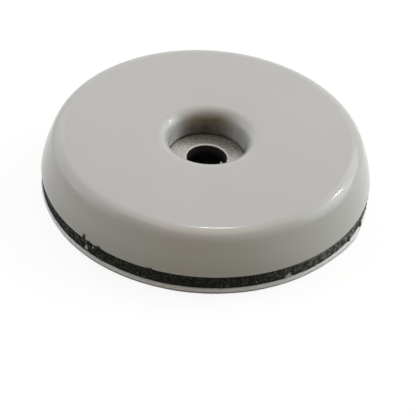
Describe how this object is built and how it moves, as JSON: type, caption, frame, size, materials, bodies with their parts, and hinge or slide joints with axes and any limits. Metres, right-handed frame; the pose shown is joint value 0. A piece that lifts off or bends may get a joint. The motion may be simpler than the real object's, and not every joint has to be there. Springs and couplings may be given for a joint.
{
  "type": "furniture slider",
  "caption": "Round furniture slider: a rounded low-friction shell with a recessed screw well and washer, on a foam cushion with adhesive mounting tape and its release liner.",
  "frame": {"origin": "middle of the release liner's outer face, on the screw's axis", "axes": "+Z along the screw's axis, from the furniture leg's side out of the sliding face; the part is round, so X and Y are free"},
  "size_m": [0.04, 0.04, 0.008],
  "materials": {
    "shell_plastic": "satin",
    "core_plastic": "matte",
    "washer_steel": "satin",
    "adhesive": "gloss",
    "cushion_foam": "matte",
    "tape_foam": "matte",
    "liner_paper": "satin"
  },
  "bodies": {
    "base": {"cushion_pad": "cushion_foam", "tape_upper_adhesive": "adhesive", "tape_foam": "tape_foam", "tape_lower_adhesive": "adhesive"},
    "slider": {"glide_shell": "shell_plastic", "core_ring": "core_plastic", "seat_washer": "washer_steel", "bond_film": "adhesive"},
    "liner": {"release_liner": "liner_paper"}
  },
  "joints": [
    {"name": "cushion_press", "type": "slide", "parent": "base", "child": "slider", "axis": [0, 0, -1], "range_m": [0, 0.0004], "stiffness_N_per_m": 210000, "deforming": ["cushion_pad"]},
    {"name": "liner_peel", "type": "slide", "parent": "base", "child": "liner", "axis": [0, 0, -1], "range_m": [0, 0.02]}
  ]
}
